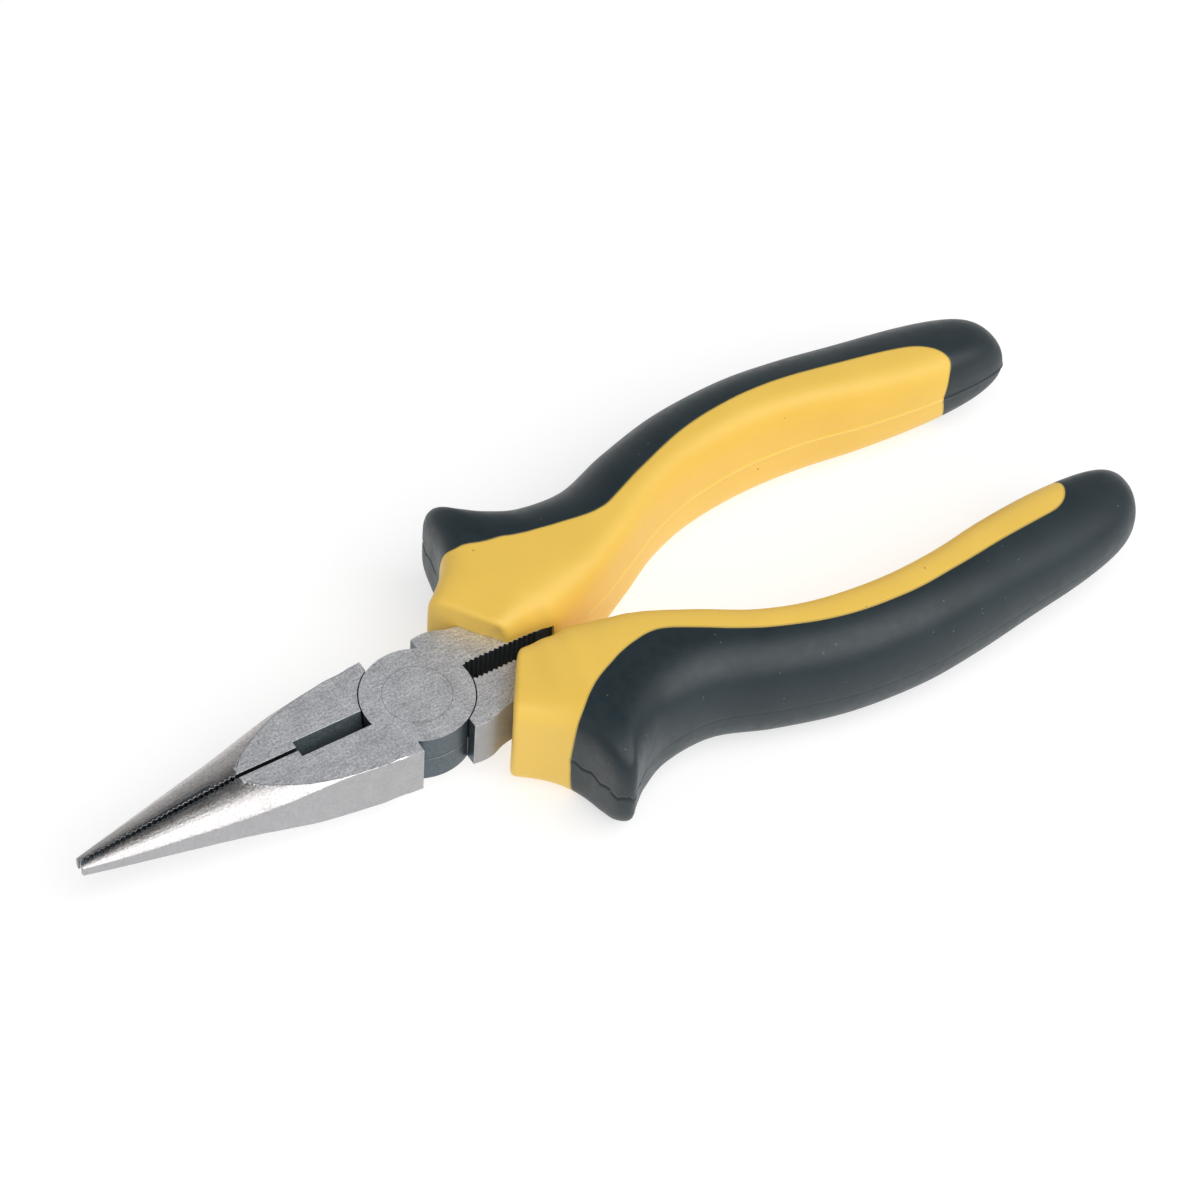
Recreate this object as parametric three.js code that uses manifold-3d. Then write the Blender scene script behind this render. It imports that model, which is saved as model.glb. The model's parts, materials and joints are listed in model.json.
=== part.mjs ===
// Long-nose pliers with a lap joint, closed, lying flat on their grips.
// Millimetres, +Z up. +X runs from the jaws to the handles, the pivot axis is parallel to Z.
// The origin is at the middle of the bottom of the whole tool's box.
// Every piece is drawn about the pivot first, with Z = 0 at half thickness. Lever A has the near
// jaw (-Y), the upper lap and the far handle (+Y). Lever B is lever A turned half a turn about X.

import * as THREE from 'three';
import { mergeVertices } from 'three/addons/utils/BufferGeometryUtils.js';
import Module from 'manifold-3d';

const wasm = await Module();
wasm.setup();

// ---- Driving dimensions ----
const clearance = 0.3;          // between pieces that touch or turn
const halfThickness = 4.33;     // head, from mid thickness to the ground cheek
const tipX = -52.8;
const tipFlat = 0.3;            // plain end of the gripping face, in front of the first tooth
const jawFaceY = 0.15;          // each gripping face, from the middle plane

const lapRadius = 8.2;          // round laps of the joint
const lapSegments = 72;
const notchX = 4.1;             // step of jaw and shank beside the laps, from the pivot
const lapRoot = 1.5;            // how far jaw and shank run in under the round of the lap
const rivetRadius = 3.1;
const rivetHeadRadius = 4.95;
const rivetHeadDepth = 1.7;
const rivetRimDepth = 0.3;      // straight rim above the countersink
const rivetSegments = 40;

const toothPitch = 0.8;
const toothRunOut = 0.1;        // ramp from the last root to the smooth stretch
const jawTeeth = 30;
const jawToothDepth = 0.3;
const reliefY = 0.3;            // smooth stretch between the teeth and the wire cutter
const cutterX = -19.1;          // front wall of the wire cutter
const cutterHalfWidth = 1.42;
const cutterRoot = 0.5;         // overlap of the wedge with the jaw behind it

const slotHalfWidth = 1.36;     // pipe grip between the shanks
const slotStartX = 8.8;
const slotTeeth = 14;
const slotToothDepth = 0.35;
const slotEndX = 23.0;
const slotLead = 0.2;           // plain wall before the first and after the last tooth
const slotLapX = 5.3;           // where the slot's wall passes under the lap

const tangHalfThickness = 2.5;
const noseAspect = 1.6;         // width over height of the rounded nose
const noseSegments = 64;

const skin = 2.2;               // thickness of the soft overmould
const hornSkin = 5.5;           // the same in the finger guard, which is soft right through
const hornRows = [2, 9];        // first and last grip section of the finger guard
const sleeveInset = 1.0;        // same as skin, at the inner side
const sleeveLastRow = 17;       // last grip section with hard core in it
const zoneHalfHeight = 12;      // taller than any grip section
const middleY = -2;             // beyond the middle plane, clear of the grip
const gripSteps = 2;            // steps between two rows of the grip table
const gripArc = 6;              // steps in each quarter of a grip section

// Outer side of a jaw in plan, from the tip to the step beside the lap.
const jawSide = [
  [tipX, 1.05], [-44.6, 2.85], [-33.5, 4.95], [-22.0, 7.0], [-15.6, 7.75], [-10.5, 8.45], [-notchX, 9.0],
];

// Half height of the rounded nose along the tool.
const noseHeight = [
  [tipX - 1, 0.85], [-44.6, 2.05], [-33.5, 3.55], [-28.3, 4.33], [-25.8, 4.8], [-23.5, 5.2],
  [-20.0, 5.85], [-15.6, 6.4], [-10.5, 6.8], [-5.0, 7.4], [0, 12],
];

// Outer side of a shank in plan, from the step beside the lap to the end of the slot.
const shankSide = [
  [notchX, 8.9], [5.8, 9.05], [7.4, 8.85], [10.2, 7.9], [16.0, 7.4], [slotEndX, 8.6],
];

// Tang inside the grip, in plan: outer edge going back, inner edge coming forward.
const tangOuter = [
  [20, 8.4], [30, 12.3], [40, 17.4], [50, 21.6], [60, 24.0], [70, 24.8], [80, 24.2], [94, 21.8],
];
const tangInner = [
  [94, 16.8], [80, 19.0], [70, 19.6], [60, 18.6], [50, 16.2], [40, 11.9], [30, 7.2], [20, 4.0],
];

// Grip sections. Each row is a vertical section between two points of the parting line:
// inner x, y | outer x, y | half height | crest, as a share of the width | height of the outer
// edge, as a share of the crest | squareness of the inner edge | squareness of the outer edge
const gripRows = [
  [15.2, 1.5, 8.3, 11.7, 8.1, 0.35, 1.02, 5.0, 7.0],
  [17.2, 1.5, 11.7, 14.6, 8.3, 0.33, 1.02, 4.5, 6.5],
  [19.0, 1.4, 14.0, 17.5, 8.8, 0.32, 1.0, 4.0, 5.5],
  [21.0, 1.2, 15.4, 20.8, 9.0, 0.32, 1.0, 3.4, 5.0],
  [23.0, 0.8, 16.0, 24.1, 9.2, 0.30, 0.98, 3.2, 4.6],
  [25.0, 1.3, 16.7, 26.8, 9.2, 0.28, 0.97, 3.4, 4.4],
  [27.3, 2.1, 18.4, 27.9, 9.3, 0.28, 0.97, 3.7, 4.2],
  [29.5, 2.8, 20.3, 26.3, 9.3, 0.30, 0.98, 4.0, 4.0],
  [32.0, 3.8, 23.0, 24.3, 9.3, 0.33, 1.0, 4.8, 3.4],
  [35.5, 5.3, 28.0, 22.3, 9.3, 0.35, 1.0, 4.6, 2.8],
  [41.0, 8.2, 36.0, 22.1, 9.3, 0.35, 1.0, 4.0, 2.4],
  [48.0, 11.8, 45.0, 25.2, 9.3, 0.35, 1.0, 3.1, 2.4],
  [56.0, 14.4, 56.0, 28.1, 9.2, 0.35, 1.0, 3.0, 2.4],
  [66.0, 15.6, 68.0, 29.1, 9.1, 0.35, 1.0, 3.0, 2.4],
  [76.0, 15.1, 78.0, 28.5, 8.7, 0.35, 1.0, 3.0, 2.4],
  [85.0, 13.5, 88.0, 27.3, 8.0, 0.35, 1.0, 3.0, 2.4],
  [94.0, 12.4, 98.0, 26.1, 7.2, 0.35, 1.0, 3.0, 2.4],
  [102.0, 12.0, 105.0, 24.5, 6.5, 0.38, 1.0, 2.8, 2.4],
  [107.6, 12.3, 109.0, 22.6, 5.6, 0.42, 1.0, 2.5, 2.4],
  [110.8, 13.2, 111.0, 20.2, 3.9, 0.50, 1.0, 2.3, 2.3],
  [112.0, 15.0, 112.0, 17.4, 1.3, 0.50, 1.0, 2.0, 2.0],
];

// Edge of the hard core's visible part in plan, from the finger guard to the inner side near the end.
const coreEdge = [
  [13.4, 19.6], [15.6, 17.7], [18.6, 16.2], [24.8, 13.8], [29.5, 12.6], [33.8, 12.2], [37.2, 12.6],
  [43.5, 15.4], [49.8, 18.2], [57.9, 20.4], [67.0, 22.0], [77.4, 21.4], [88.6, 19.7], [94.8, 18.7],
  [99.0, 17.0], [101.0, 13.4], [100.4, 6.0],
];

// ---- Materials ----
const steel = new THREE.MeshStandardMaterial({ color: 0xa9abae, roughness: 0.42, metalness: 1.0 });
const hardPlastic = new THREE.MeshStandardMaterial({ color: 0xf2c352, roughness: 0.45, metalness: 0.0 });
const softRubber = new THREE.MeshStandardMaterial({ color: 0x2c393d, roughness: 0.6, metalness: 0.0 });

// ---- Solids ----
function toSolid(geometry) {
  geometry.deleteAttribute('normal');
  geometry.deleteAttribute('uv');
  const merged = mergeVertices(geometry, 1e-4);
  return new wasm.Manifold(new wasm.Mesh({
    numProp: 3,
    vertProperties: new Float32Array(merged.attributes.position.array),
    triVerts: new Uint32Array(merged.index.array),
  }));
}

function toGeometry(solid) {
  const mesh = solid.getMesh();
  const geometry = new THREE.BufferGeometry();
  geometry.setAttribute('position', new THREE.BufferAttribute(mesh.vertProperties, 3));
  geometry.setIndex(new THREE.BufferAttribute(mesh.triVerts, 1));
  return geometry;
}

// Upright prism over an outline of [x, y] points.
function prism(outline, low, high) {
  const shape = new THREE.Shape(outline.map(([x, y]) => new THREE.Vector2(x, y)));
  const geometry = new THREE.ExtrudeGeometry(shape, { depth: high - low, bevelEnabled: false });
  geometry.translate(0, 0, low);
  return toSolid(geometry);
}

// Upright turned solid from [radius, z] points, given from the bottom up.
function turned(profile, segments) {
  const geometry = new THREE.LatheGeometry(profile.map(([r, z]) => new THREE.Vector2(r, z)), segments);
  geometry.rotateX(Math.PI / 2);
  return toSolid(geometry);
}

function disc(radius, low, high) {
  return turned([[0, low], [radius, low], [radius, high], [0, high]], lapSegments);
}

// Zigzag of gripping teeth along X: roots at y, points at y + depth.
function teeth(startX, count, y, depth) {
  const points = [];
  for (let i = 0; i < count; i += 1) {
    points.push([startX + i * toothPitch, y]);
    points.push([startX + (i + 0.5) * toothPitch, y + depth]);
  }
  points.push([startX + count * toothPitch, y]);
  return points;
}

// ---- Steel levers ----
// The rounded nose: a turned solid about X, squashed to the nose's height.
function nose() {
  const profile = noseHeight.map(([x, height]) => new THREE.Vector2(height, -x)).reverse();
  const closed = [new THREE.Vector2(0, profile[0].y), ...profile, new THREE.Vector2(0, profile.at(-1).y)];
  const geometry = new THREE.LatheGeometry(closed, noseSegments);
  geometry.rotateZ(Math.PI / 2);
  geometry.scale(1, noseAspect, 1);
  return toSolid(geometry);
}

// Near jaw, full thickness: teeth, relief, and the step down to the wire cutter.
function jaw() {
  const rootY = -(jawFaceY + jawToothDepth);
  const gripping = teeth(tipX + tipFlat, jawTeeth, rootY, jawToothDepth);
  const teethEndX = gripping.at(-1)[0];
  const outline = [
    [tipX, rootY],
    ...gripping,
    [teethEndX + toothRunOut, -reliefY],
    [cutterX, -reliefY],
    [cutterX, -cutterHalfWidth],
    [0, -cutterHalfWidth],
    [0, -lapRadius + lapRoot],
    [-notchX, -lapRadius + lapRoot],
    ...jawSide.toReversed().map(([x, y]) => [x, -y]),
  ];
  return prism(outline.toReversed(), -halfThickness, halfThickness).intersect(nose());
}

// One half of the wire cutter: two bevels that meet in an edge at mid thickness.
function cutterWedge() {
  const bevel = new THREE.Shape([
    new THREE.Vector2(-cutterHalfWidth - cutterRoot, -halfThickness),
    new THREE.Vector2(-cutterHalfWidth, -halfThickness),
    new THREE.Vector2(-jawFaceY, 0),
    new THREE.Vector2(-cutterHalfWidth, halfThickness),
    new THREE.Vector2(-cutterHalfWidth - cutterRoot, halfThickness),
  ]);
  const start = cutterX - cutterRoot;
  const geometry = new THREE.ExtrudeGeometry(bevel, { depth: -notchX - start, bevelEnabled: false });
  geometry.rotateX(Math.PI / 2);
  geometry.rotateZ(Math.PI / 2);
  geometry.translate(start, 0, 0);
  return toSolid(geometry);
}

// Shank behind the joint with the toothed pipe grip, then the thin tang inside the grip.
function shankAndTang() {
  const rootY = slotHalfWidth + slotToothDepth;
  const gripping = teeth(slotStartX, slotTeeth, rootY, -slotToothDepth);
  const shank = prism([
    [notchX, lapRadius / 2], [slotLapX, lapRadius / 2], [slotLapX, slotHalfWidth],
    [slotStartX - slotLead, slotHalfWidth],
    ...gripping,
    [slotStartX + slotTeeth * toothPitch + slotLead, slotHalfWidth],
    [slotEndX, slotHalfWidth],
    ...shankSide.toReversed(),
  ], -halfThickness, halfThickness);
  const tang = prism([...tangInner, ...tangOuter].toReversed(), -tangHalfThickness, tangHalfThickness);
  return shank.add(tang);
}

// Space that a rivet with its two countersunk heads takes, grown by a gap.
function rivetBody(gap) {
  const top = halfThickness + (gap > 0 ? 1 : 0);
  const shoulder = halfThickness - rivetHeadDepth;
  return turned([
    [0, -top], [rivetHeadRadius + gap, -top], [rivetHeadRadius + gap, -halfThickness + rivetRimDepth],
    [rivetRadius + gap, -shoulder], [rivetRadius + gap, shoulder],
    [rivetHeadRadius + gap, halfThickness - rivetRimDepth], [rivetHeadRadius + gap, top], [0, top],
  ], rivetSegments);
}

function lever() {
  const lapPlane = clearance / 2;
  const otherLap = disc(lapRadius + clearance, -2 * halfThickness, lapPlane);
  return jaw()
    .add(cutterWedge())
    .add(shankAndTang())
    .add(disc(lapRadius, -halfThickness, halfThickness))
    .subtract(otherLap)
    .subtract(rivetBody(clearance / 2));
}

// ---- Grips ----
// Smooth values between the rows of a grip table.
function gripSections(rows) {
  const point = (a, b, c) => new THREE.CatmullRomCurve3(
    rows.map((row) => new THREE.Vector3(row[a], row[b], c === null ? 0 : row[c])), false, 'catmullrom', 0.5);
  const inner = point(0, 1, null);
  const outer = point(2, 3, null);
  const size = point(4, 5, 6);
  const edge = point(7, 8, null);
  const count = (rows.length - 1) * gripSteps;
  const sections = [];
  for (let i = 0; i <= count; i += 1) {
    const t = i / count;
    const [from, to] = [inner.getPoint(t), outer.getPoint(t)];
    sections.push({ inner: from, outer: to, size: size.getPoint(t), edge: edge.getPoint(t) });
  }
  return sections;
}

// One closed section: share of the width from inner to outer, and height, for the top half.
function sectionHalf({ size, edge }) {
  const { x: height, y: crest, z: outerShare } = size;
  const half = [];
  for (let i = 0; i <= gripArc; i += 1) {
    const angle = (i / gripArc) * (Math.PI / 2);
    const share = crest * (1 - Math.cos(angle) ** (2 / edge.x));
    half.push([share, height * Math.sin(angle) ** (2 / edge.x)]);
  }
  for (let i = 1; i <= gripArc; i += 1) {
    const angle = (i / gripArc) * (Math.PI / 2);
    const reach = Math.sin(angle) ** (2 / edge.y);
    const fall = 1 + (outerShare - 1) * reach ** 1.5;
    const rise = i === gripArc ? 0 : Math.cos(angle) ** (2 / edge.y);
    half.push([crest + (1 - crest) * reach, height * fall * rise]);
  }
  return half;
}

function loft(rows) {
  const positions = [];
  const rings = gripSections(rows).map((section) => {
    const half = sectionHalf(section);
    const ring = [...half, ...half.slice(1, -1).reverse().map(([share, z]) => [share, -z])];
    const start = positions.length / 3;
    for (const [share, z] of ring) {
      const x = THREE.MathUtils.lerp(section.inner.x, section.outer.x, share);
      const y = THREE.MathUtils.lerp(section.inner.y, section.outer.y, share);
      positions.push(x, y, z);
    }
    return { start, count: ring.length, section };
  });
  const index = [];
  for (let i = 0; i + 1 < rings.length; i += 1) {
    for (let j = 0; j < rings[i].count; j += 1) {
      const next = (j + 1) % rings[i].count;
      const a = rings[i].start + j;
      const b = rings[i].start + next;
      const c = rings[i + 1].start + j;
      const d = rings[i + 1].start + next;
      index.push(a, d, b, a, c, d);
    }
  }
  for (const [ring, flip] of [[rings[0], false], [rings.at(-1), true]]) {
    const middle = positions.length / 3;
    const { inner, outer } = ring.section;
    positions.push((inner.x + outer.x) / 2, (inner.y + outer.y) / 2, 0);
    for (let j = 0; j < ring.count; j += 1) {
      const a = ring.start + j;
      const b = ring.start + ((j + 1) % ring.count);
      index.push(middle, flip ? b : a, flip ? a : b);
    }
  }
  const geometry = new THREE.BufferGeometry();
  geometry.setAttribute('position', new THREE.Float32BufferAttribute(positions, 3));
  geometry.setIndex(index);
  return toSolid(geometry);
}

// Rows of the hard core under the overmould, set in by the overmould's thickness less a gap.
function sleeveRows(gap) {
  return gripRows.slice(0, sleeveLastRow + 1).map((row, i) => {
    const [innerX, innerY, outerX, outerY, height, ...shape] = row;
    const width = Math.hypot(outerX - innerX, outerY - innerY);
    const inset = (i >= hornRows[0] && i <= hornRows[1] ? hornSkin : skin) - gap;
    const end = i === sleeveLastRow ? gap : 0;
    const near = (sleeveInset - gap) / width;
    const far = 1 - inset / width;
    return [
      THREE.MathUtils.lerp(innerX, outerX, near) + end, THREE.MathUtils.lerp(innerY, outerY, near),
      THREE.MathUtils.lerp(innerX, outerX, far) + end, THREE.MathUtils.lerp(innerY, outerY, far),
      height - skin + gap, ...shape,
    ];
  });
}

// Region of the grip where the hard core shows, in plan, grown by a gap across its edge.
function coreZone(gap) {
  const corners = coreEdge.map(([x, y]) => new THREE.Vector3(x, y, 0));
  const edge = new THREE.CatmullRomCurve3(corners, false, 'catmullrom', 0.5);
  const outline = [];
  const count = (coreEdge.length - 1) * 2;
  for (let i = 0; i <= count; i += 1) {
    const point = edge.getPoint(i / count);
    const ahead = edge.getTangent(i / count);
    outline.push([point.x - ahead.y * gap, point.y + ahead.x * gap]);
  }
  outline.push([coreEdge.at(-1)[0], middleY], [0, middleY], [0, coreEdge[0][1]]);
  return prism(outline.toReversed(), -zoneHalfHeight, zoneHalfHeight);
}

// Steel that the core is moulded round, grown by the gap.
function tangSpace() {
  const grown = (outline, gap) => outline.map(([x, y], i) => {
    const before = outline[Math.max(i - 1, 0)];
    const after = outline[Math.min(i + 1, outline.length - 1)];
    const length = Math.hypot(after[0] - before[0], after[1] - before[1]);
    return [x - ((after[1] - before[1]) / length) * gap, y + ((after[0] - before[0]) / length) * gap];
  });
  const endX = tangOuter.at(-1)[0] + clearance;
  const tang = prism([
    ...grown(tangInner, clearance), ...grown(tangOuter, clearance).slice(0, -1),
    [endX, tangOuter.at(-1)[1] + clearance], [endX, tangInner[0][1] - clearance],
  ].toReversed(), -tangHalfThickness - clearance, tangHalfThickness + clearance);
  const shank = prism([
    [0, middleY], [slotEndX + clearance, middleY], [slotEndX + clearance, shankSide.at(-1)[1] + clearance],
    ...grown(shankSide, clearance).slice(3, -1).toReversed(), [0, zoneHalfHeight],
  ], -halfThickness - clearance, halfThickness + clearance);
  return tang.add(shank);
}

const grip = loft(gripRows);
const core = grip.intersect(coreZone(0)).add(loft(sleeveRows(0))).subtract(tangSpace());
const overmould = grip.subtract(coreZone(clearance)).subtract(loft(sleeveRows(clearance)));

// ---- Assembly ----
const leverGeometry = toGeometry(lever());
const coreGeometry = toGeometry(core);
const overmouldGeometry = toGeometry(overmould);

const gripBox = new THREE.Box3();
for (const { attributes } of [coreGeometry, overmouldGeometry]) {
  gripBox.union(new THREE.Box3().setFromBufferAttribute(attributes.position));
}
const assembly = new THREE.Group();
assembly.position.set(-(tipX + gripBox.max.x) / 2, 0, -gripBox.min.z);

function place(name, geometry, material, turnedOver) {
  const mesh = new THREE.Mesh(geometry, material);
  mesh.name = name;
  mesh.rotation.x = turnedOver ? Math.PI : 0;
  assembly.add(mesh);
}

place('lever_a', leverGeometry, steel, false);
place('grip_core_a', coreGeometry, hardPlastic, false);
place('grip_overmould_a', overmouldGeometry, softRubber, false);
place('lever_b', leverGeometry, steel, true);
place('grip_core_b', coreGeometry, hardPlastic, true);
place('grip_overmould_b', overmouldGeometry, softRubber, true);
place('pivot_rivet', toGeometry(rivetBody(0)), steel, false);

const pliers = new THREE.Group();
pliers.name = 'needle_nose_pliers';
pliers.add(assembly);

export default pliers;
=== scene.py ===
"""Long-nose pliers, closed, lying flat on a pale floor.

Every piece is drawn in millimetres about the pivot, with z = 0 at half thickness, for lever A: the
near jaw (-y), the upper lap and the far handle (+y). Lever B is the same, turned half a turn about x.
place() puts a finished mesh in the frame, in metres.
"""
import json
import math

import bmesh
import bpy
import numpy as np
from mathutils import Matrix, Vector
from mathutils.geometry import delaunay_2d_cdt
from mathutils.kdtree import KDTree

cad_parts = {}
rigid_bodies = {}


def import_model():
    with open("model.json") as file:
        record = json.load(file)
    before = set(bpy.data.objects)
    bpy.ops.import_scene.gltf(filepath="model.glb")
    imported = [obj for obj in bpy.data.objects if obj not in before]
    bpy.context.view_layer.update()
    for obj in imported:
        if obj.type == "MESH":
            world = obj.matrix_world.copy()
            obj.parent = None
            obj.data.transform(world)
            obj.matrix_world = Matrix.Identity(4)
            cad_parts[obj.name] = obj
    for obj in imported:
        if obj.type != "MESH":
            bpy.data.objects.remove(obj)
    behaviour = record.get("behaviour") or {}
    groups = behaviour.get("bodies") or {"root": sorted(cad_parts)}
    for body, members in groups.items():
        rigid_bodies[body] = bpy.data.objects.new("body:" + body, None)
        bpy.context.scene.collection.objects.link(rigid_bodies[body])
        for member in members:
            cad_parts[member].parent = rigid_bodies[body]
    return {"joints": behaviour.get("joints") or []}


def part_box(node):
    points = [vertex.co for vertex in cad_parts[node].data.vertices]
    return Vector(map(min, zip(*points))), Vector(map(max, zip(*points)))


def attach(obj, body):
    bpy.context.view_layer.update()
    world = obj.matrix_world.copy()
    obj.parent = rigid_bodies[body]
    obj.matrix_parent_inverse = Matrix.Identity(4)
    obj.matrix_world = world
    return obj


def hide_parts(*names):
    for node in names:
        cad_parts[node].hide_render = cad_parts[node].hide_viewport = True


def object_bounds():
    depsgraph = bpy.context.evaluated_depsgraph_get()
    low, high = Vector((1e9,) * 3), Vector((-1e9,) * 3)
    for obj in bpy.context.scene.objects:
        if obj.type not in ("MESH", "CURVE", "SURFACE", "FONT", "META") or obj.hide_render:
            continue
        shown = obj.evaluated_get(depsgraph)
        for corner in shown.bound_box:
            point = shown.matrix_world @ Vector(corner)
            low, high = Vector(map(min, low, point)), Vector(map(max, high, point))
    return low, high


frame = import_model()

MM = 0.001
CAD_LOW, CAD_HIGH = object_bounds()
RIVET_LOW, RIVET_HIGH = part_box("pivot_rivet")
PIVOT = (RIVET_LOW + RIVET_HIGH) / 2
BODY_A, BODY_B = (frame["joints"][0][side] for side in ("parent", "child"))

# ---- Steel head, in millimetres ----
HALF_THICKNESS = (RIVET_HIGH.z - RIVET_LOW.z) / 2 / MM
TIP_X = (CAD_LOW.x - PIVOT.x) / MM
JAW_FACE_Y = 0.15
LAP_RADIUS = 8.2
LAP_GAP = 0.16
LAP_ROOT = 1.5              # how far the jaw runs in under the round of the lap
NOTCH_X = 4.1               # step of jaw and shank beside the laps, from the pivot
RIVET_RADIUS = 3.1
RIVET_HEAD_RADIUS = (RIVET_HIGH.x - RIVET_LOW.x) / 2 / MM
RIVET_HEAD_DEPTH = 1.7
RIVET_RIM_DEPTH = 0.3       # straight rim above the countersink
RIVET_GAP = 0.045
TOOTH_PITCH = 0.8
TOOTH_RUN_OUT = 0.1         # ramp from the last root to the smooth stretch
TIP_FLAT = 0.3              # plain end of the gripping face, in front of the first tooth
JAW_TEETH = 30
JAW_TOOTH_DEPTH = 0.3
RELIEF_Y = 0.3              # smooth stretch between the teeth and the wire cutter
CUTTER_X = -19.1            # front wall of the wire cutter
CUTTER_HALF_WIDTH = 1.42
CUTTER_ROOT = 0.5           # overlap of the wedge with the jaw
SLOT_HALF_WIDTH = 1.36      # pipe grip between the shanks
SLOT_START_X = 8.8
SLOT_LEAD = 0.2             # plain wall before the first and after the last tooth
SLOT_LAP_X = 5.3            # where the slot's wall passes under the lap
SLOT_TEETH = 14
SLOT_TOOTH_DEPTH = 0.35
SLOT_END_X = 23.0
SHANK_ROOT_Y = 4.0          # inner corner of the shank, under the lap
TANG_HALF_THICKNESS = 2.5
NOSE_ASPECT = 1.6           # width over height of the rounded nose
LAP_SEGMENTS = 180
RIVET_SEGMENTS = 120
NOSE_SEGMENTS = 192
EDGE_WIDTH = 0.06           # rounded edges of the levers
EDGE_ZONE = 0.3             # reach of the tests that tell one edge of a lap from another
FLAT_ANGLE = math.radians(0.4)      # faces that meet flatter than this become one
ROUNDED_ANGLE = math.radians(12)    # edges sharper than this are rounded
STEEL_CREASE = math.radians(50)
GRIP_CREASE = math.radians(38)

# Outer side of a jaw in plan, from the tip to the step beside the lap.
JAW_SIDE = [
    (TIP_X, 1.05), (-44.6, 2.85), (-33.5, 4.95), (-22.0, 7.0), (-15.6, 7.75), (-10.5, 8.45),
    (-NOTCH_X, 9.0),
]
# Half height of the rounded nose along the tool.
NOSE_HEIGHT = [
    (TIP_X - 1, 0.85), (-44.6, 2.05), (-33.5, 3.55), (-28.3, 4.33), (-25.8, 4.8), (-23.5, 5.2),
    (-20.0, 5.85), (-15.6, 6.4), (-10.5, 6.8), (-5.0, 7.4), (0, 12),
]
# Outer side of a shank in plan, from the step beside the lap to the end of the slot.
SHANK_SIDE = [(NOTCH_X, 8.9), (5.8, 9.05), (7.4, 8.85), (10.2, 7.9), (16.0, 7.4), (SLOT_END_X, 8.6)]
# Tang inside the grip, in plan: outer edge going back, inner edge coming forward.
TANG_OUTER = [
    (20, 8.4), (30, 12.3), (40, 17.4), (50, 21.6), (60, 24.0), (70, 24.8), (80, 24.2), (94, 21.8),
]
TANG_INNER = [
    (94, 16.8), (80, 19.0), (70, 19.6), (60, 18.6), (50, 16.2), (40, 11.9), (30, 7.2), (20, 4.0),
]

# ---- Grips, in millimetres ----
# Each row is a vertical section between two points of the parting line: inner x, y | outer x, y |
# half height | crest, as a share of the width | height of the outer edge, as a share of the crest |
# squareness of the inner edge | squareness of the outer edge
GRIP_ROWS = np.array([
    (15.2, 1.5, 8.3, 11.7, 8.1, 0.35, 1.02, 5.0, 7.0),
    (17.2, 1.5, 11.7, 14.6, 8.3, 0.33, 1.02, 4.5, 6.5),
    (19.0, 1.4, 14.0, 17.5, 8.8, 0.32, 1.0, 4.0, 5.5),
    (21.0, 1.2, 15.4, 20.8, 9.0, 0.32, 1.0, 3.4, 5.0),
    (23.0, 0.8, 16.0, 24.1, 9.2, 0.30, 0.98, 3.2, 4.6),
    (25.0, 1.3, 16.7, 26.8, 9.2, 0.28, 0.97, 3.4, 4.4),
    (27.3, 2.1, 18.4, 27.9, 9.3, 0.28, 0.97, 3.7, 4.2),
    (29.5, 2.8, 20.3, 26.3, 9.3, 0.30, 0.98, 4.0, 4.0),
    (32.0, 3.8, 23.0, 24.3, 9.3, 0.33, 1.0, 4.8, 3.4),
    (35.5, 5.3, 28.0, 22.3, 9.3, 0.35, 1.0, 4.6, 2.8),
    (41.0, 8.2, 36.0, 22.1, 9.3, 0.35, 1.0, 4.0, 2.4),
    (48.0, 11.8, 45.0, 25.2, 9.3, 0.35, 1.0, 3.1, 2.4),
    (56.0, 14.4, 56.0, 28.1, 9.2, 0.35, 1.0, 3.0, 2.4),
    (66.0, 15.6, 68.0, 29.1, 9.1, 0.35, 1.0, 3.0, 2.4),
    (76.0, 15.1, 78.0, 28.5, 8.7, 0.35, 1.0, 3.0, 2.4),
    (85.0, 13.5, 88.0, 27.3, 8.0, 0.35, 1.0, 3.0, 2.4),
    (94.0, 12.4, 98.0, 26.1, 7.2, 0.35, 1.0, 3.0, 2.4),
    (102.0, 12.0, 105.0, 24.5, 6.5, 0.38, 1.0, 2.8, 2.4),
    (107.6, 12.3, 109.0, 22.6, 5.6, 0.42, 1.0, 2.5, 2.4),
    (110.8, 13.2, 111.0, 20.2, 3.9, 0.50, 1.0, 2.3, 2.3),
    (112.0, 15.0, 112.0, 17.4, 1.3, 0.50, 1.0, 2.0, 2.0),
])
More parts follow.
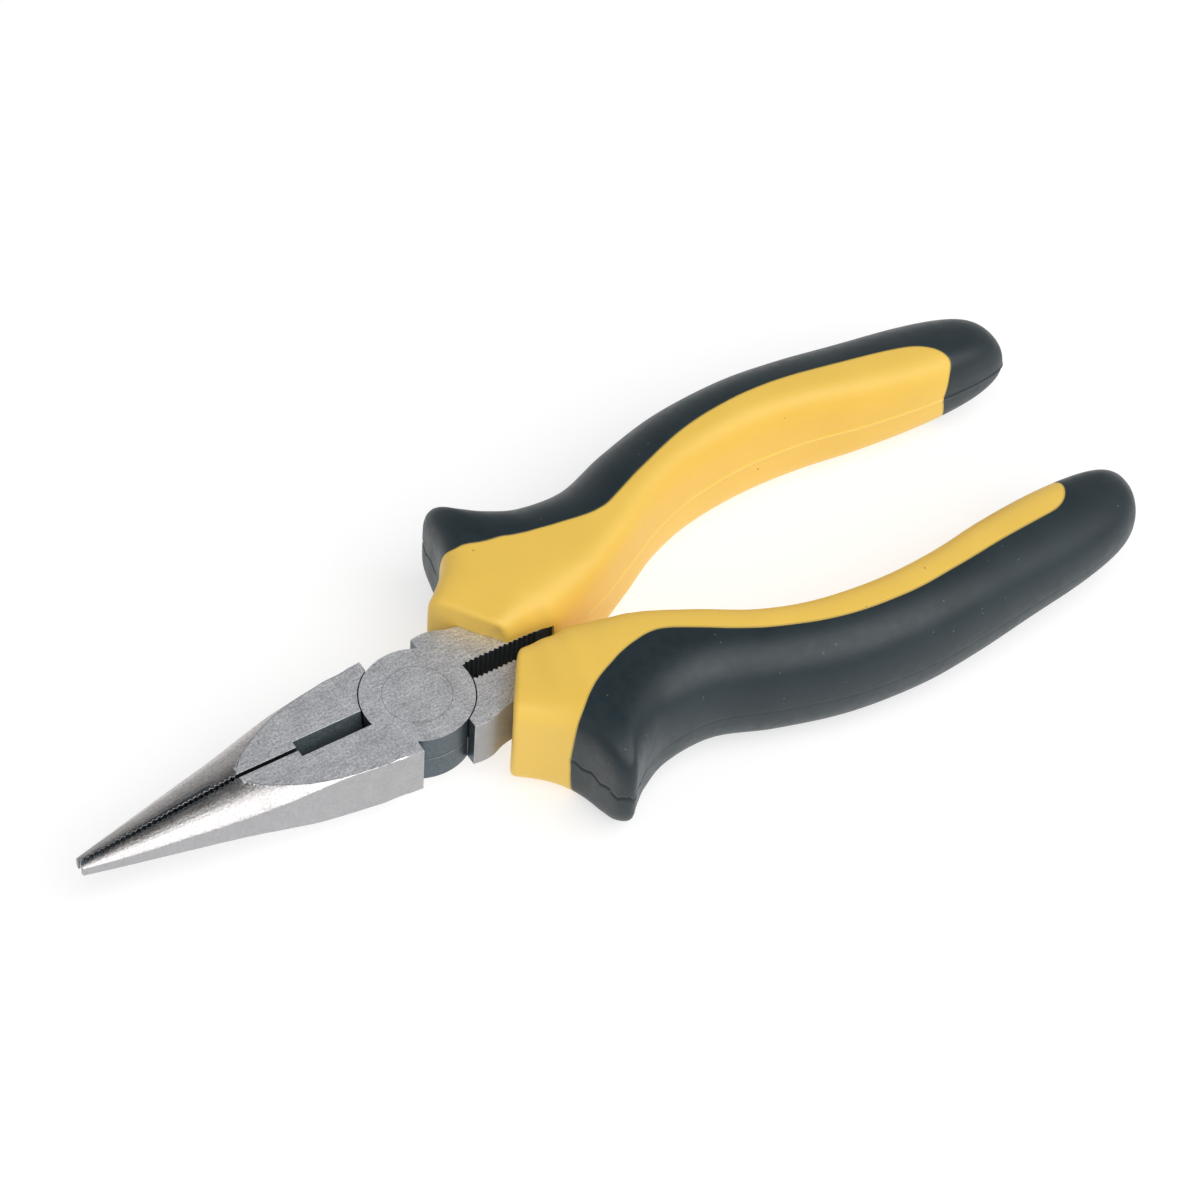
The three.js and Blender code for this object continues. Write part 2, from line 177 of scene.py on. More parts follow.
# Where the hard core meets the overmould on lever A's grip, as (x, y, height): from the parting line
# of the finger guard, along the upper or the under side, to the inner parting line near the end.
EDGE_ABOVE = [
    (14.3, 17.9, 0), (14.5, 18.0, 4), (15.0, 17.8, 7), (16.2, 17.2, 8.5), (17.8, 17.0, 8.9),
    (22.5, 15.2, 9.2), (30.1, 13.9, 9.2), (35.5, 13.0, 9.3), (38.5, 13.1, 9.3), (42.3, 14.5, 9.3),
    (51.6, 18.3, 9.2), (58.2, 20.4, 9.1), (66.0, 21.5, 9.0), (74.9, 21.6, 8.7), (85.0, 20.4, 8.0),
    (95.1, 19.0, 7.2), (99.3, 17.1, 6.9), (101.0, 14.2, 6.2), (100.1, 12.6, 4.3), (99.3, 12.1, 0),
]
EDGE_BELOW = [
    (14.3, 17.9, 0), (14.4, 18.1, 3), (14.7, 18.1, 6), (15.6, 17.5, 8.1), (17.9, 15.6, 9.0),
    (20.9, 13.4, 9.2), (24.1, 11.8, 9.3), (28.2, 10.4, 9.3), (32.6, 10.0, 9.3), (36.0, 11.3, 9.3),
    (42.0, 15.0, 9.3), (48.3, 18.1, 9.2), (56.8, 20.8, 9.1), (66.3, 21.9, 9.0), (77.3, 21.2, 8.6),
    (89.4, 19.4, 7.7), (95.3, 18.8, 7.2), (98.1, 18.0, 7.0), (99.9, 16.5, 6.9), (100.8, 14.4, 6.3),
    (100.1, 12.6, 4.3), (99.3, 12.1, 0),
]
OVERMOULD_DEPTH = 2.0       # thickness of the soft overmould above and below
INNER_INSET = 1.5           # the same at the inner side of the grip
OUTER_INSET = 2.2           # the same at the outer side
HORN_INSET = 5.5            # the same in the finger guard
HORN_X, HORN_REACH = 17, 6  # middle of the finger guard and its reach along the tool
HORN_Y = 20                 # the finger guard stands out further than this
SKIN_GAP = 0.03             # between moulded pieces and round the steel
FRONT_ROUND = 0.9           # rounded edge of the grip's front face
EDGE_GROOVE = (0.05, 0.09)  # depth and width of the groove along the colour edge
INNER_RIDGE = (0.14, 0.2)   # height and width of the inner parting line
OUTER_GROOVE = (0.03, 0.14)     # depth and width of the outer parting line
CRACK_DEPTH = 0.19          # how much deeper that line is where it gapes
PARTING_START = 24.0        # the inner parting line shows behind the collar
CRACK_START, CRACK_END = 8.0, 22.0    # the outer parting line gapes on the finger guard
GRID_STEP = 0.6             # spacing of the grip's net
EDGE_BANDS = (-0.36, -0.18, -0.08, 0.08, 0.18, 0.36)    # its lines beside the colour edge
SURFACE_STEP = 0.2          # spacing of the grip's sections
HALF_COLUMNS = 100          # steps round each half of a section
GIRTH = 25.0                # unrolled height of each half of the surface
STRETCH = GIRTH / HALF_COLUMNS

# ---- Camera ----
VIEW_AZIMUTH, VIEW_ELEVATION, VIEW_ROLL = -35.73, 50.40, 4.61
VIEW_OFFSET = (25.67, 15.88, 562.1)    # from the pivot: right, up and back, in millimetres
VIEW_LENS, VIEW_SENSOR = 120.42, 36


# ---- Meshes ----
def link(obj):
    bpy.context.scene.collection.objects.link(obj)
    return obj


def raw_mesh(points, faces):
    mesh = bpy.data.meshes.new("raw")
    mesh.from_pydata([tuple(p) for p in points], [], [tuple(f) for f in faces])
    mesh.update()
    return mesh


def evaluated(obj):
    """The mesh of obj with its modifiers applied. obj itself is removed."""
    bpy.context.view_layer.update()
    graph = bpy.context.evaluated_depsgraph_get()
    mesh = bpy.data.meshes.new_from_object(obj.evaluated_get(graph))
    bpy.data.objects.remove(obj)
    return mesh


def combined(mesh, operation, *others):
    """mesh with each of the others added, cut away or kept in turn."""
    base = link(bpy.data.objects.new("base", mesh))
    tools = [link(bpy.data.objects.new("tool", other)) for other in others]
    for tool in tools:
        step = base.modifiers.new(operation, "BOOLEAN")
        step.operation = operation
        step.solver = "MANIFOLD"
        step.object = tool
    result = evaluated(base)
    for tool in tools:
        bpy.data.objects.remove(tool)
    result.materials.clear()
    result.polygons.foreach_set("material_index", [0] * len(result.polygons))
    return result


def place(mesh, name, body, turned_over):
    """A finished piece in the frame, riding on its body. It is trimmed to the CAD model's box."""
    points = np.array([v.co for v in mesh.vertices])
    if turned_over:
        points *= (1, -1, -1)
    points = points * MM + np.array(PIVOT)
    points = np.clip(points, np.array(CAD_LOW), np.array(CAD_HIGH))
    mesh.vertices.foreach_set("co", points.astype(np.float32).ravel())
    mesh.update()
    mesh.name = name
    obj = link(bpy.data.objects.new(name, mesh))
    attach(obj, body)
    return obj


# ---- Curves ----
def bell(distance, width):
    return np.exp(-((distance / width) ** 2))


def through(rows, at):
    """Values of a smooth curve through the rows, at places counted in rows."""
    rows = np.asarray(rows, float)
    padded = np.vstack([2 * rows[0] - rows[1], rows, 2 * rows[-1] - rows[-2]])
    at = np.clip(np.asarray(at, float), 0, len(rows) - 1)
    i = np.minimum(at.astype(int), len(rows) - 2)
    t = (at - i)[:, None]
    before, start, end, after = (padded[i + k] for k in range(4))
    out, back = (end - before) / 2, (after - start) / 2
    return (
        (2 * t**3 - 3 * t**2 + 1) * start + (t**3 - 2 * t**2 + t) * out
        + (3 * t**2 - 2 * t**3) * end + (t**3 - t**2) * back
    )


def smooth(points, steps):
    """The points joined by a smooth curve with that many steps between each two."""
    count = (len(points) - 1) * steps
    return [tuple(p) for p in through(points, np.arange(count + 1) / steps)]


# ---- Steel solids ----
def prism(outline, low, high):
    """Upright prism over an outline of (x, y) points that runs anticlockwise."""
    n = len(outline)
    points = [(x, y, low) for x, y in outline] + [(x, y, high) for x, y in outline]
    sides = [(i, (i + 1) % n, n + (i + 1) % n, n + i) for i in range(n)]
    return raw_mesh(points, [range(n - 1, -1, -1), range(n, 2 * n), *sides])


def turned(profile, segments):
    """Turned solid about z from (radius, z) points, bottom up, that starts and ends on the axis."""
    inner = profile[1:-1]
    points = [(0, 0, profile[0][1])]
    for r, z in inner:
        for k in range(segments):
            angle = 2 * math.pi * k / segments
            points.append((r * math.cos(angle), r * math.sin(angle), z))
    points.append((0, 0, profile[-1][1]))
    faces = []
    for k in range(segments):
        after = (k + 1) % segments
        faces.append((0, 1 + after, 1 + k))
        for row in range(len(inner) - 1):
            a, b = 1 + row * segments, 1 + (row + 1) * segments
            faces.append((a + k, a + after, b + after, b + k))
        last = 1 + (len(inner) - 1) * segments
        faces.append((len(points) - 1, last + k, last + after))
    return raw_mesh(points, faces)


def disc(radius, low, high):
    return turned([(0, low), (radius, low), (radius, high), (0, high)], LAP_SEGMENTS)


def teeth(start_x, count, y, depth):
    """Zigzag of gripping teeth along x: roots at y, points at y + depth."""
    points = []
    for i in range(count):
        points.append((start_x + i * TOOTH_PITCH, y))
        points.append((start_x + (i + 0.5) * TOOTH_PITCH, y + depth))
    points.append((start_x + count * TOOTH_PITCH, y))
    return points


def nose():
    """The rounded nose: a turned solid about x, squashed to the nose's height."""
    profile = [(r, x) for x, r in smooth(NOSE_HEIGHT, 6)]
    mesh = turned([(0, profile[0][1]), *profile, (0, profile[-1][1])], NOSE_SEGMENTS)
    mesh.transform(Matrix(((0, 0, 1, 0), (0, NOSE_ASPECT, 0, 0), (-1, 0, 0, 0), (0, 0, 0, 1))))
    return mesh


def jaw():
    root_y = -(JAW_FACE_Y + JAW_TOOTH_DEPTH)
    gripping = teeth(TIP_X + TIP_FLAT, JAW_TEETH, root_y, JAW_TOOTH_DEPTH)
    teeth_end = gripping[-1][0]
    inner_y = -LAP_RADIUS + LAP_ROOT
    outline = [
        *((x, -y) for x, y in smooth(JAW_SIDE, 8)),
        (-NOTCH_X, inner_y), (0, inner_y), (0, -CUTTER_HALF_WIDTH), (CUTTER_X, -CUTTER_HALF_WIDTH),
        (CUTTER_X, -RELIEF_Y), (teeth_end + TOOTH_RUN_OUT, -RELIEF_Y),
        *reversed(gripping), (TIP_X, root_y),
    ]
    return combined(prism(outline, -HALF_THICKNESS, HALF_THICKNESS), "INTERSECT", nose())


def cutter_wedge():
    """One half of the wire cutter: two bevels that meet in an edge at mid thickness."""
    wall = -CUTTER_HALF_WIDTH
    bevel = [
        (wall - CUTTER_ROOT, -HALF_THICKNESS), (wall, -HALF_THICKNESS), (-JAW_FACE_Y, 0),
        (wall, HALF_THICKNESS), (wall - CUTTER_ROOT, HALF_THICKNESS),
    ]
    # The bevels are drawn across (y, z), and the prism is laid down to run along x.
    mesh = prism(bevel, CUTTER_X - CUTTER_ROOT, -NOTCH_X)
    mesh.transform(Matrix(((0, 0, 1, 0), (1, 0, 0, 0), (0, 1, 0, 0), (0, 0, 0, 1))))
    return mesh


def shank():
    root_y = SLOT_HALF_WIDTH + SLOT_TOOTH_DEPTH
    gripping = teeth(SLOT_START_X, SLOT_TEETH, root_y, -SLOT_TOOTH_DEPTH)
    outline = [
        (NOTCH_X, SHANK_ROOT_Y), (SLOT_LAP_X, SHANK_ROOT_Y), (SLOT_LAP_X, SLOT_HALF_WIDTH),
        (SLOT_START_X - SLOT_LEAD, SLOT_HALF_WIDTH), *gripping,
        (gripping[-1][0] + SLOT_LEAD, SLOT_HALF_WIDTH), (SLOT_END_X, SLOT_HALF_WIDTH),
        *reversed(smooth(SHANK_SIDE, 6)),
    ]
    return prism(outline, -HALF_THICKNESS, HALF_THICKNESS)


def tang(gap=0.0):
    """The tang, or with a gap the room for it, higher by the gap above and below."""
    outline = [*smooth(TANG_INNER, 3), *smooth(TANG_OUTER, 3)]
    return prism(outline[::-1], -TANG_HALF_THICKNESS - gap, TANG_HALF_THICKNESS + gap)


def rivet_body(gap):
    """The rivet, or with a gap the hole for it, which runs on past the cheeks."""
    top = HALF_THICKNESS + (1 if gap > 0 else 0)
    shoulder = HALF_THICKNESS - RIVET_HEAD_DEPTH
    rim = HALF_THICKNESS - RIVET_RIM_DEPTH
    head, hole = RIVET_HEAD_RADIUS + gap, RIVET_RADIUS + gap
    profile = [
        (0, -top), (head, -top), (head, -rim), (hole, -shoulder),
        (hole, shoulder), (head, rim), (head, top), (0, top),
    ]
    return turned(profile, RIVET_SEGMENTS)


def lever():
    other_lap = disc(LAP_RADIUS + LAP_GAP, -2 * HALF_THICKNESS, LAP_GAP / 2)
    whole_lap = disc(LAP_RADIUS, -HALF_THICKNESS, HALF_THICKNESS)
    blank = combined(jaw(), "UNION", cutter_wedge(), shank(), whole_lap)
    cut = combined(blank, "DIFFERENCE", other_lap, rivet_body(RIVET_GAP))
    return combined(cut, "UNION", tang())


def edge_round(edge):
    """Share of the full round that an edge gets: none at the flush rivet and half at the lap's rims."""
    middle = (edge.verts[0].co + edge.verts[1].co) / 2
    radius = math.hypot(middle.x, middle.y)
    if radius < RIVET_HEAD_RADIUS + EDGE_ZONE:
        return 0
    at_cheek = abs(middle.z) > HALF_THICKNESS - 0.1
    between_laps = abs(middle.z) < 0.2
    if abs(radius - LAP_RADIUS) < EDGE_ZONE and (at_cheek or between_laps):
        return 0.5
    return 1


def eased(mesh):
    """A lever with its flat faces whole again and a small round on its edges."""
    for material in STEELS:
        mesh.materials.append(material)
    work = bmesh.new()
    work.from_mesh(mesh)
    bmesh.ops.remove_doubles(work, verts=work.verts, dist=1e-4)
    bmesh.ops.dissolve_limit(
        work, angle_limit=FLAT_ANGLE, verts=work.verts, edges=work.edges,
        use_dissolve_boundaries=False)
    weights = work.edges.layers.float.new("bevel_weight_edge")
    for edge in work.edges:
        if edge.calc_face_angle(0) > ROUNDED_ANGLE:
            edge[weights] = edge_round(edge)
    work.to_mesh(mesh)
    work.free()
    obj = link(bpy.data.objects.new("eased", mesh))
    ease = obj.modifiers.new("ease", "BEVEL")
    ease.width = EDGE_WIDTH
    ease.segments = 2
    ease.limit_method = "WEIGHT"
    ease.use_clamp_overlap = False
    ease.material = STEELS.index(EDGE)
    return evaluated(obj)


# ---- Materials ----
RAMP_INPUTS = ("From Min", "From Max", "To Min", "To Max")


class Nodes:
    """Short ways to add and join the nodes of one material."""

    def __init__(self, name):
        self.material = bpy.data.materials.new(name)
        self.material.use_nodes = True
        self.tree = self.material.node_tree
        self.shader = self.tree.nodes["Principled BSDF"]
        self.place = self.add("ShaderNodeTexCoord").outputs["Object"]

    def add(self, kind, **settings):
        node = self.tree.nodes.new(kind)
        for key, value in settings.items():
            setattr(node, key, value)
        return node

    def join(self, source, target):
        self.tree.links.new(source, target)

    def stretched(self, scale, rotation=(0, 0, 0)):
        mapping = self.add("ShaderNodeMapping")
        mapping.inputs["Scale"].default_value = scale
        mapping.inputs["Rotation"].default_value = rotation
        self.join(self.place, mapping.inputs["Vector"])
        return mapping.outputs["Vector"]

    def noise(self, scale, detail=2.0, vector=None, roughness=0.5):
        node = self.add("ShaderNodeTexNoise")
        node.inputs["Scale"].default_value = scale
        node.inputs["Detail"].default_value = detail
        node.inputs["Roughness"].default_value = roughness
        self.join(vector or self.place, node.inputs["Vector"])
        return node.outputs["Fac"]

    def ramp(self, value, low, high, to_low=0.0, to_high=1.0):
        node = self.add("ShaderNodeMapRange")
        for name, number in zip(RAMP_INPUTS, (low, high, to_low, to_high)):
            node.inputs[name].default_value = number
        self.join(value, node.inputs["Value"])
        return node.outputs["Result"]

    def maths(self, operation, a, b):
        node = self.add("ShaderNodeMath", operation=operation)
        for socket, value in zip(node.inputs, (a, b)):
            if isinstance(value, (int, float)):
                socket.default_value = value
            else:
                self.join(value, socket)
        return node.outputs["Value"]

    def mix(self, factor, a, b):
        node = self.add("ShaderNodeMix", data_type="RGBA")
        self.join(factor, node.inputs["Factor"])
        for socket, value in zip((node.inputs[6], node.inputs[7]), (a, b)):
            if isinstance(value, tuple):
                socket.default_value = (*value, 1)
            else:
                self.join(value, socket)
        return node.outputs[2]

    def specks(self, scale, size, rarity):
        """1 in small round specks, at most one to a cell, in the share of cells above the rarity."""
        node = self.add("ShaderNodeTexVoronoi")
        node.inputs["Scale"].default_value = scale
        self.join(self.place, node.inputs["Vector"])
        split = self.add("ShaderNodeSeparateColor")
        self.join(node.outputs["Color"], split.inputs["Color"])
        spot = self.ramp(node.outputs["Distance"], size * 0.6, size, 1, 0)
        chosen = self.maths("GREATER_THAN", split.outputs["Red"], rarity)
        return self.maths("MULTIPLY", spot, chosen)

    def bump(self, height, distance):
        node = self.add("ShaderNodeBump")
        node.inputs["Distance"].default_value = distance
        node.inputs["Strength"].default_value = 1.0
        self.join(height, node.inputs["Height"])
        return node.outputs["Normal"]

    def total(self, a, share_of_a, b, share_of_b):
        first = self.maths("MULTIPLY", a, share_of_a)
        return self.maths("ADD", first, self.maths("MULTIPLY", b, share_of_b))

    def near(self, layer_name, reach, strength):
        """The strength on a line that a mesh layer holds the distance to, falling to 0 at the reach."""
        layer = self.add("ShaderNodeAttribute", attribute_name=layer_name)
        return self.maths("MULTIPLY", self.ramp(layer.outputs["Fac"], 0, reach, 1, 0), strength)

    def set(self, name, value):
        if hasattr(value, "links"):
            self.join(value, self.shader.inputs[name])
        elif isinstance(value, tuple):
            self.shader.inputs[name].default_value = (*value, 1)
        else:
            self.shader.inputs[name].default_value = value


def steel(name, dark, light, rough, grain, streak_turn=None, metallic=1.0):
    """Bare steel between two greys, with fine grain and, where it is ground, short faint streaks.

    rough is the range of its roughness, and grain the height of its grain in millimetres.
    """
    nodes = Nodes(name)
    speckle = nodes.noise(3000, 2.0, roughness=0.6)
    cloud = nodes.noise(420, 3.0)
    tone = nodes.total(speckle, 0.75, cloud, 0.25)
    height = speckle
    if streak_turn is not None:
        lines = nodes.noise(1.0, 2.0, nodes.stretched((700, 4200, 700), (0, 0, streak_turn)))
        tone = nodes.total(tone, 0.75, lines, 0.25)
        height = nodes.maths("ADD", speckle, nodes.maths("MULTIPLY", lines, 0.5))
    nodes.set("Base Color", nodes.mix(nodes.ramp(tone, 0.36, 0.64), dark, light))
    nodes.set("Metallic", metallic)
    nodes.set("Roughness", nodes.ramp(tone, 0.3, 0.7, rough[0], rough[1]))
    nodes.set("Normal", nodes.bump(height, grain * MM))
    return nodes.material


def hard_plastic():
    nodes = Nodes("hard_grip")
    cloud = nodes.noise(90, 3.0)
    dark, light = (0.85, 0.555, 0.098), (0.89, 0.585, 0.106)
    base = nodes.mix(nodes.ramp(cloud, 0.3, 0.7), dark, light)
    base = nodes.mix(nodes.specks(700, 0.13, 0.972), base, (0.30, 0.16, 0.02))
    base = nodes.mix(nodes.near("colour_edge", 0.35, 0.7), base, (0.14, 0.13, 0.045))
    # The inner parting line is painted paler yellow: a painted highlight on the top of its raised flash.
    base = nodes.mix(nodes.near("parting", 0.3, 0.8), base, (0.96, 0.78, 0.26))
    nodes.set("Base Color", base)
    nodes.set("Roughness", nodes.ramp(nodes.noise(900, 2.0), 0.3, 0.7, 0.40, 0.48))
    nodes.set("Normal", nodes.bump(nodes.noise(2600, 2.0), 0.015 * MM))
    nodes.set("Specular IOR Level", 0.4)
    return nodes.material


def soft_rubber():
    nodes = Nodes("soft_grip")
    cloud = nodes.noise(120, 3.0)
    dark, light = (0.0080, 0.0185, 0.0235), (0.0115, 0.0240, 0.0300)
    base = nodes.mix(nodes.ramp(cloud, 0.35, 0.65), dark, light)
    base = nodes.mix(nodes.specks(900, 0.13, 0.9), base, (0.10, 0.12, 0.12))
    base = nodes.mix(nodes.near("colour_edge", 0.25, 0.6), base, (0.08, 0.075, 0.03))
    # The gaping outer parting line on the finger guard is painted near black: painted shade inside the
    # gap.
    base = nodes.mix(nodes.near("crack", 0.22, 0.9), base, (0.002, 0.004, 0.005))
    nodes.set("Base Color", base)
    nodes.set("Roughness", nodes.ramp(nodes.noise(700, 2.0), 0.3, 0.7, 0.38, 0.47))
    nodes.set("Normal", nodes.bump(nodes.noise(3200, 2.0), 0.015 * MM))
    nodes.set("Specular IOR Level", 0.5)
    return nodes.material


ACROSS, ASKEW = math.radians(90), math.radians(50)    # directions of the grinding streaks
GROUND = steel("ground_steel", (0.46, 0.47, 0.50), (0.90, 0.91, 0.94), (0.5, 0.6), 0.035, ASKEW, 0.88)
SIDE = steel("side_steel", (0.40, 0.40, 0.41), (0.50, 0.50, 0.51), (0.42, 0.52), 0.02, ACROSS)
SHANK = steel("shank_steel", (0.36, 0.36, 0.365), (0.46, 0.46, 0.465), (0.62, 0.72), 0.02, ACROSS, 0.7)
NOSE = steel("nose_steel", (0.42, 0.41, 0.41), (0.66, 0.63, 0.62), (0.28, 0.38), 0.03)
DARK = steel("dark_steel", (0.10, 0.125, 0.14), (0.15, 0.18, 0.20), (0.38, 0.5), 0.02)
CUTTER = steel("cutter_steel", (0.13, 0.165, 0.18), (0.22, 0.265, 0.29), (0.45, 0.6), 0.02, metallic=0.8)
# Near-black painted shade for the walls of the slot, much darker than the other unground steel.
SLOT_SHADE = steel("slot_shade_steel", (0.006, 0.011, 0.013), (0.012, 0.019, 0.021), (0.7, 0.8), 0.02, metallic=0.0)
EDGE = steel("edge_steel", (0.40, 0.40, 0.42), (0.60, 0.60, 0.62), (0.35, 0.45), 0.01)
STEELS = [GROUND, SIDE, SHANK, NOSE, DARK, CUTTER, SLOT_SHADE, EDGE]
YELLOW, BLACK = hard_plastic(), soft_rubber()


def finish_and_shade_steel(mesh):
    """Each face of a lever gets the material of the surface that it belongs to; the walls of the slot get
    a near-black painted shade.
    """
    for face in mesh.polygons:
        face.use_smooth = True
        x, y, z = face.center
        facing_y, level = face.normal.y, abs(face.normal.z)
        near_slot = x > NOTCH_X and abs(y) < SLOT_HALF_WIDTH + 2 * SLOT_TOOTH_DEPTH
        in_slot = near_slot and level < 0.6
        # Rounded edges keep the edge steel, except in the slot, where they get the near-black painted
        # shade too.
        if face.material_index == STEELS.index(EDGE) and not in_slot:
            continue
        if level > 0.9 and abs(z) > HALF_THICKNESS - 0.05:
            kind = GROUND
        elif level < 0.1 and facing_y < -0.8 and x < -NOTCH_X and y < -1:
            kind = SIDE
        elif level < 0.1 and facing_y > 0.5 and x > NOTCH_X and y > 5:
            kind = SHANK
        elif level > 0.1 and x < -NOTCH_X and y < -0.5 and math.hypot(x, y) > LAP_RADIUS:
            kind = NOSE if x < CUTTER_X - 1 or y < -CUTTER_HALF_WIDTH - 0.3 else CUTTER
        elif x < TIP_X + 0.1:
            kind = SIDE
        # The slot's walls are painted near black: painted shade in the slot.
        elif in_slot:
            kind = SLOT_SHADE
        else:
            kind = DARK
        face.material_index = STEELS.index(kind)
    mesh.set_sharp_from_angle(angle=STEEL_CREASE)


def make_lever(name, body, turned_over):
    mesh = eased(lever())
    finish_and_shade_steel(mesh)
    obj = place(mesh, name + "_steel", body, turned_over)
    level = obj.modifiers.new("level", "WEIGHTED_NORMAL")
    level.keep_sharp = True
    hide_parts(name)


def make_rivet():
    mesh = rivet_body(0)
    mesh.materials.append(GROUND)
    obj = place(mesh, "pivot_rivet_steel", BODY_A, False)
    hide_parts("pivot_rivet")


# ---- Grips ----
def run_of_rows():
    """Length run along the grip, by its longer side, at closely spaced places counted in rows."""
    fine = np.linspace(0, len(GRIP_ROWS) - 1, 2001)
    ends = np.diff(through(GRIP_ROWS, fine)[:, 0:4], axis=0)
    steps = np.maximum(np.linalg.norm(ends[:, 0:2], axis=1), np.linalg.norm(ends[:, 2:4], axis=1))
    return np.concatenate([[0], np.cumsum(steps)]), fine


def rows_at(along):
    """The grip table's smooth values at distances along the grip."""
    return through(GRIP_ROWS, np.interp(along, *run_of_rows()))


def grip_surface():
    """A dense grid over the whole grip: places along it, points and outward normals."""
    length = run_of_rows()[0][-1]
    along = np.linspace(0, length, 1 + round(length / SURFACE_STEP))
    angle = np.linspace(0, math.pi / 2, 90)
    round_about = np.linspace(0, 1, HALF_COLUMNS + 1)
    grid = []
    for row in rows_at(along):
        inner, outer = row[0:2], row[2:4]
        height, crest, outer_height, inner_square, outer_square = row[4:]
        share = crest * (1 - np.cos(angle) ** (2 / inner_square))
        rise = height * np.sin(angle) ** (2 / inner_square)
        reach = np.sin(angle[1:]) ** (2 / outer_square)
        edge_height = height * (1 + (outer_height - 1) * reach**1.5)
        fall = edge_height * np.abs(np.cos(angle[1:])) ** (2 / outer_square)
        share = np.concatenate([share, crest + (1 - crest) * reach])
        rise = np.concatenate([rise, fall])
        rise[-1] = 0
        points = np.column_stack([inner + (outer - inner) * share[:, None], rise])
        run = np.concatenate([[0], np.cumsum(np.linalg.norm(np.diff(points, axis=0), axis=1))])
        places = round_about * run[-1]
        even = np.stack([np.interp(places, run, points[:, k]) for k in range(3)], axis=1)
        grid.append(np.vstack([even, even[-2::-1] * (1, 1, -1)]))
    grid = np.array(grid)
    forward = np.gradient(grid, axis=0)
    wrapped = np.concatenate([grid[:, -2:-1], grid, grid[:, 1:2]], axis=1)
    around = (wrapped[:, 2:] - wrapped[:, :-2]) / 2
    normals = np.cross(forward, around)
    normals /= np.linalg.norm(normals, axis=2, keepdims=True) + 1e-12
    return along, grid, normals


ALONG, SURFACE, NORMALS = grip_surface()


def surface_at(places, grid):
    """Values of a grid over the grip at unrolled places (distance along, distance round)."""
    last = 2 * HALF_COLUMNS
    i = np.clip(places[:, 0] / (ALONG[1] - ALONG[0]), 0, len(ALONG) - 1)
    j = np.clip(places[:, 1] / STRETCH, 0, last)
    a, b = np.minimum(i.astype(int), len(ALONG) - 2), np.minimum(j.astype(int), last - 1)
    s, t = (i - a)[:, None], (j - b)[:, None]
    return (
        grid[a, b] * (1 - s) * (1 - t) + grid[a + 1, b] * s * (1 - t)
        + grid[a, b + 1] * (1 - s) * t + grid[a + 1, b + 1] * s * t
    )


def on_guard(along):
    """1 on the soft front of the finger guard, falling to 0 at the hard core and behind the guard."""
    return np.clip((along - CRACK_START) / 1.5, 0, 1) * np.clip((CRACK_END + 5 - along) / 4, 0, 1)


def wander(along):
    """How far the outer parting line strays upward round the finger guard."""
    return on_guard(along) * (0.25 * np.sin(1.9 * along) + 0.13 * np.sin(5.3 * along + 1))


def on_grip(places, grid):
    """As surface_at, with the places near the outer parting line moved along with it."""
    strayed = places.copy()
    strayed[:, 1] -= wander(places[:, 0]) * bell(places[:, 1] - GIRTH, 2.0)
    return surface_at(strayed, grid)


def unrolled(line, below):
    """Places on the unrolled surface of the points of a line in space, above or below mid thickness."""
    first = HALF_COLUMNS if below else 0
    columns = range(first, first + HALF_COLUMNS + 1)
    stride = 2 * HALF_COLUMNS + 1
    tree = KDTree(len(ALONG) * len(columns))
    for i in range(len(ALONG)):
        for j in columns:
            tree.insert(SURFACE[i, j], i * stride + j)
    tree.balance()
    found = []
    for x, y, z in line:
        index = tree.find((x, y, -z if below else z))[1]
        found.append((ALONG[index // stride], (index % stride) * STRETCH))
    return np.array(found)


def softened(line):
    """The line with its inner points averaged with their neighbours, again and again."""
    line = line.copy()
    for repeat in range(30):
        line[1:-1] = (line[:-2] + 2 * line[1:-1] + line[2:]) / 4
    return line


def colour_edge():
    """The edge between core and overmould on the unrolled surface, from inner seam to inner seam."""
    above = unrolled(smooth(EDGE_ABOVE, 16), False)
    below = unrolled(smooth(EDGE_BELOW, 16), True)
    above[0, 1] = below[0, 1] = GIRTH
    above[-1, 1], below[-1, 1] = 0, 2 * GIRTH
    below[0, 0] = above[0, 0]
    below[-1, 0] = above[-1, 0]
    line = np.vstack([softened(above)[::-1], softened(below)[1:]])
    run = np.concatenate([[0], np.cumsum(np.linalg.norm(np.diff(line, axis=0), axis=1))])
    even = np.linspace(0, run[-1], round(run[-1] / 0.35))
    return np.stack([np.interp(even, run, line[:, k]) for k in range(2)], axis=1)


